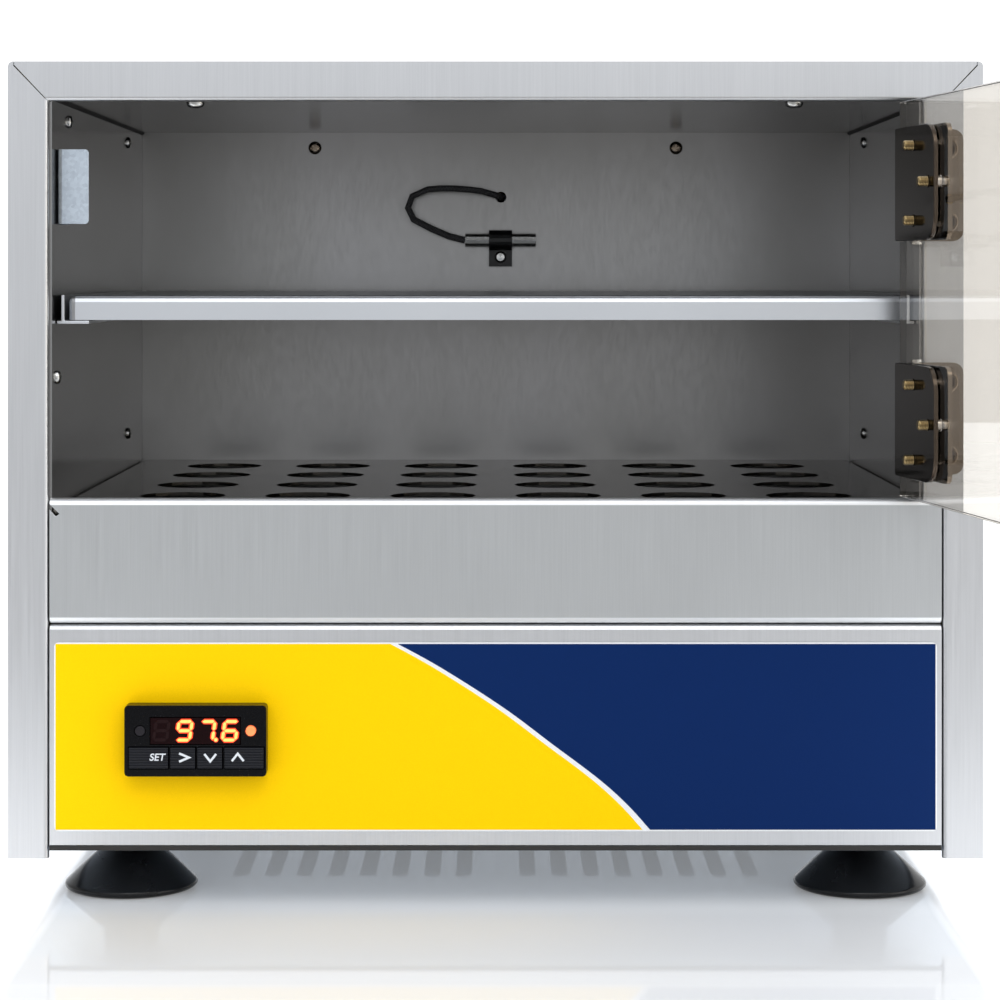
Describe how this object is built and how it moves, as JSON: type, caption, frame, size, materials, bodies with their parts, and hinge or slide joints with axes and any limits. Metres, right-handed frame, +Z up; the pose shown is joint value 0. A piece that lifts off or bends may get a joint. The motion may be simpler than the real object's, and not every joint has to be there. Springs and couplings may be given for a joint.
{
  "type": "laboratory incubator",
  "caption": "Bench-top laboratory incubator with an inset clear door, a shelf over a perforated heated floor, a digital temperature controller and rubber suction feet.",
  "frame": {"origin": "on the bench, under the middle of the object's bounding box as it stands at rest with its door open", "axes": "+X across the case to the right as seen from the front, +Y from the front to the back, +Z up"},
  "size_m": [0.3703, 0.5817, 0.288],
  "materials": {
    "brushed_steel": "satin, horizontal brush lines",
    "chamber_steel": "satin",
    "galvanised_steel": "zinc plated, slightly bluish",
    "printed_film": "printed polyester film, semi-gloss",
    "mineral_wool": "fibrous, matt",
    "element_sheath": "dull, heat darkened",
    "black_plastic": "moulded, glossy",
    "grey_plastic": "moulded, fine grain",
    "red_window": "smoked red, polished",
    "red_light": "translucent red lens",
    "black_rubber": "smooth, slightly shiny",
    "wire_sleeve": "extruded sleeve, satin",
    "bright_steel": "polished",
    "dark_nickel": "dark nickel plate, polished",
    "magnet": "sintered, matt",
    "clear_acrylic": "polished, very slightly bronze"
  },
  "bodies": {
    "case": {"outer_cover": "brushed_steel", "base_pan": "brushed_steel", "control_panel": "brushed_steel", "upper_fascia": "brushed_steel", "rear_panel": "brushed_steel", "chamber_wrap": "chamber_steel", "chamber_back": "chamber_steel", "chamber_floor": "chamber_steel", "divider_plate": "chamber_steel", "shelf_rail_left": "chamber_steel", "shelf_rail_right": "chamber_steel", "element_bracket_left": "chamber_steel", "element_bracket_right": "chamber_steel", "strike_tab": "galvanised_steel", "control_label": "printed_film", "insulation_left": "mineral_wool", "insulation_right": "mineral_wool", "insulation_top": "mineral_wool", "insulation_back": "mineral_wool", "heater_element": "element_sheath", "controller_bezel": "black_plastic", "mains_inlet": "black_plastic", "power_switch": "black_plastic", "limit_thermostat": "black_plastic", "controller_body": "grey_plastic", "mounting_collar": "grey_plastic", "terminal_block": "grey_plastic", "solid_state_relay": "grey_plastic", "display_window": "red_window", "output_light": "red_light", "alarm_light": "red_light", "foot_front_left": "black_rubber", "foot_front_right": "black_rubber", "foot_rear_left": "black_rubber", "foot_rear_right": "black_rubber", "probe_clip": "black_rubber", "sensor_lead": "wire_sleeve", "mains_wiring": "wire_sleeve", "heater_wiring": "wire_sleeve", "sensor_probe": "bright_steel", "clip_screw": "bright_steel", "upper_frame_leaf": "bright_steel", "lower_frame_leaf": "bright_steel", "upper_hinge_pin": "bright_steel", "lower_hinge_pin": "bright_steel"},
    "door": {"door_pane": "clear_acrylic", "door_knob": "black_plastic", "door_magnet": "magnet", "knob_screw": "bright_steel", "upper_door_leaf": "bright_steel", "lower_door_leaf": "bright_steel", "upper_clamp_plate": "dark_nickel", "lower_clamp_plate": "dark_nickel"},
    "shelf": {"shelf": "brushed_steel"},
    "set_key": {"set_key": "black_plastic"},
    "right_key": {"right_key": "black_plastic"},
    "down_key": {"down_key": "black_plastic"},
    "up_key": {"up_key": "black_plastic"},
    "power_rocker": {"power_rocker": "black_plastic"},
    "fuse_drawer": {"fuse_drawer": "grey_plastic"}
  },
  "joints": [
    {"name": "door_hinge", "type": "hinge", "parent": "case", "child": "door", "pos_m": [0.13071, 0.00866, 0.2062], "axis": [0, 0, 1], "range_deg": [-98, 77]},
    {"name": "shelf_slide", "type": "slide", "parent": "case", "child": "shelf", "axis": [0, -1, 0], "range_m": [0, 0.01]},
    {"name": "set_key_press", "type": "slide", "parent": "case", "child": "set_key", "axis": [0, 1, 0], "range_m": [0, 0.0006], "stiffness_N_per_m": 500},
    {"name": "right_key_press", "type": "slide", "parent": "case", "child": "right_key", "axis": [0, 1, 0], "range_m": [0, 0.0006], "stiffness_N_per_m": 500},
    {"name": "down_key_press", "type": "slide", "parent": "case", "child": "down_key", "axis": [0, 1, 0], "range_m": [0, 0.0006], "stiffness_N_per_m": 500},
    {"name": "up_key_press", "type": "slide", "parent": "case", "child": "up_key", "axis": [0, 1, 0], "range_m": [0, 0.0006], "stiffness_N_per_m": 500},
    {"name": "power_rocker_tilt", "type": "hinge", "parent": "case", "child": "power_rocker", "pos_m": [0.04521, 0.28756, 0.058], "axis": [1, 0, 0], "range_deg": [0, 20]},
    {"name": "fuse_drawer_slide", "type": "slide", "parent": "case", "child": "fuse_drawer", "axis": [0, 1, 0], "range_m": [0, 0.016]}
  ]
}
